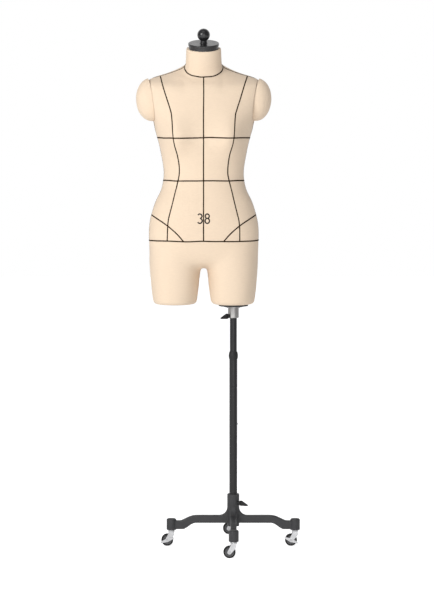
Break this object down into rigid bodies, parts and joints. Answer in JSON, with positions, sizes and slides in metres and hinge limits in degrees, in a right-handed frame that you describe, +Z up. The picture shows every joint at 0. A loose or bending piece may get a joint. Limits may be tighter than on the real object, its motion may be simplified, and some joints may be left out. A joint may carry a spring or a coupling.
{
  "type": "dress form mannequin",
  "caption": "Padded linen dress form with short leg stumps and removable arm caps, on a height-adjustable pole with a four-armed cast base on swivel casters.",
  "frame": {"origin": "floor point on the pole's axis", "axes": "+Z up, the form's front faces -Y, +X towards the form's left side"},
  "size_m": [0.5156, 0.4228, 1.6278],
  "materials": {
    "linen": "plain woven, matt",
    "wadding": "felted, matt",
    "moulded_shell": "as moulded",
    "tape": "narrow woven tape",
    "wood": "planed",
    "black_lacquer": "semi-gloss",
    "cap_black": "semi-gloss",
    "bright_steel": "bright plated",
    "zinc_steel": "zinc plated",
    "foam": "open foam",
    "board_plastic": "as moulded",
    "lever_black": "fine texture",
    "cast_black": "powder coated",
    "wheel_grey": "as moulded",
    "tyre_black": "smooth tread"
  },
  "bodies": {
    "base": {"base_casting": "cast_black", "caster_sleeves": "lever_black", "caster_stems": "zinc_steel"},
    "base_clamp": {"base_clamp_screw": "zinc_steel", "base_clamp_lever": "lever_black"},
    "lower_stand": {"lower_pole": "black_lacquer", "pole_collar": "lever_black"},
    "upper_stand": {"upper_pole": "black_lacquer", "upper_pole_plug": "lever_black", "button_spring": "zinc_steel"},
    "button": {"snap_button": "bright_steel"},
    "form": {"torso_cover": "linen", "torso_padding": "wadding", "torso_shell": "moulded_shell", "style_tapes": "tape", "neck_block": "wood", "neck_cap": "cap_black", "finial_stud": "zinc_steel", "leg_board_left": "wood", "leg_board_right": "wood", "shoulder_board_left": "wood", "shoulder_board_right": "wood", "arm_plate_left": "zinc_steel", "arm_plate_right": "zinc_steel", "arm_plate_screws": "zinc_steel", "mount_plate": "black_lacquer", "mount_plate_screws": "zinc_steel", "pole_socket": "bright_steel", "pole_socket_bolts": "zinc_steel"},
    "socket_clamp": {"socket_clamp_screw": "zinc_steel", "socket_clamp_lever": "lever_black"},
    "finial": {"finial_knob": "cap_black"},
    "arm_cap_left": {"arm_cap_cover_left": "linen", "arm_cap_foam_left": "foam", "arm_cap_board_left": "board_plastic", "arm_cap_magnets_left": "zinc_steel"},
    "arm_cap_right": {"arm_cap_cover_right": "linen", "arm_cap_foam_right": "foam", "arm_cap_board_right": "board_plastic", "arm_cap_magnets_right": "zinc_steel"},
    "caster_left": {"caster_fork_left": "bright_steel", "caster_axle_left": "zinc_steel"},
    "wheel_left": {"caster_wheel_left": "wheel_grey", "caster_tyre_left": "tyre_black"},
    "caster_right": {"caster_fork_right": "bright_steel", "caster_axle_right": "zinc_steel"},
    "wheel_right": {"caster_wheel_right": "wheel_grey", "caster_tyre_right": "tyre_black"},
    "caster_front": {"caster_fork_front": "bright_steel", "caster_axle_front": "zinc_steel"},
    "wheel_front": {"caster_wheel_front": "wheel_grey", "caster_tyre_front": "tyre_black"},
    "caster_rear": {"caster_fork_rear": "bright_steel", "caster_axle_rear": "zinc_steel"},
    "wheel_rear": {"caster_wheel_rear": "wheel_grey", "caster_tyre_rear": "tyre_black"},
    "brake_left": {"brake_rocker_left": "bright_steel"},
    "brake_right": {"brake_rocker_right": "bright_steel"}
  },
  "joints": [
    {"name": "base_clamp_turn", "type": "hinge", "parent": "base", "child": "base_clamp", "pos_m": [0, 0, 0.1385], "axis": [0.8387, -0.5446, 0], "range_deg": [-180, 0]},
    {"name": "stand_turn", "type": "hinge", "parent": "base", "child": "lower_stand", "pos_m": [0, 0, 0.1], "axis": [0, 0, 1], "continuous": true},
    {"name": "height_slide", "type": "slide", "parent": "lower_stand", "child": "upper_stand", "axis": [0, 0, 1], "range_m": [-0.0575, 0.115], "deforming": ["snap_button"]},
    {"name": "button_press", "type": "slide", "parent": "upper_stand", "child": "button", "axis": [-1, 0, 0], "range_m": [0, 0.0046], "stiffness_N_per_m": 400, "deforming": ["button_spring"]},
    {"name": "form_turn", "type": "hinge", "parent": "upper_stand", "child": "form", "pos_m": [0, 0, 0.74], "axis": [0, 0, 1], "continuous": true},
    {"name": "socket_clamp_turn", "type": "hinge", "parent": "form", "child": "socket_clamp", "pos_m": [0, 0, 0.7315], "axis": [-0.766, -0.6428, 0], "range_deg": [-180, 0]},
    {"name": "finial_unscrew", "type": "hinge", "parent": "form", "child": "finial", "pos_m": [-0.093, -0.013, 1.567], "axis": [0, -0.2672, 0.9636], "continuous": true},
    {"name": "arm_cap_left_pull", "type": "slide", "parent": "form", "child": "arm_cap_left", "axis": [0.9781, -0.1549, -0.1392], "range_m": [0, 0.06]},
    {"name": "arm_cap_right_pull", "type": "slide", "parent": "form", "child": "arm_cap_right", "axis": [-0.9781, -0.1549, -0.1392], "range_m": [0, 0.06]},
    {"name": "caster_left_swivel", "type": "hinge", "parent": "base", "child": "caster_left", "pos_m": [0.196, 0, 0.0465], "axis": [0, 0, 1], "continuous": true},
    {"name": "wheel_left_spin", "type": "hinge", "parent": "caster_left", "child": "wheel_left", "pos_m": [0.183, 0, 0.019], "axis": [0, 1, 0], "continuous": true},
    {"name": "caster_right_swivel", "type": "hinge", "parent": "base", "child": "caster_right", "pos_m": [-0.196, 0, 0.0465], "axis": [0, 0, 1], "continuous": true},
    {"name": "wheel_right_spin", "type": "hinge", "parent": "caster_right", "child": "wheel_right", "pos_m": [-0.209, 0, 0.019], "axis": [0, 1, 0], "continuous": true},
    {"name": "caster_front_swivel", "type": "hinge", "parent": "base", "child": "caster_front", "pos_m": [0, -0.196, 0.0465], "axis": [0, 0, 1], "continuous": true},
    {"name": "wheel_front_spin", "type": "hinge", "parent": "caster_front", "child": "wheel_front", "pos_m": [-0.013, -0.196, 0.019], "axis": [0, 1, 0], "continuous": true},
    {"name": "caster_rear_swivel", "type": "hinge", "parent": "base", "child": "caster_rear", "pos_m": [0, 0.196, 0.0465], "axis": [0, 0, 1], "continuous": true},
    {"name": "wheel_rear_spin", "type": "hinge", "parent": "caster_rear", "child": "wheel_rear", "pos_m": [-0.013, 0.196, 0.019], "axis": [0, 1, 0], "continuous": true},
    {"name": "brake_left_rock", "type": "hinge", "parent": "caster_left", "child": "brake_left", "pos_m": [0.183, -0.0113, 0.019], "axis": [0, -1, 0], "range_deg": [0, 44]},
    {"name": "brake_right_rock", "type": "hinge", "parent": "caster_right", "child": "brake_right", "pos_m": [-0.209, -0.0113, 0.019], "axis": [0, -1, 0], "range_deg": [-42, 0]}
  ]
}
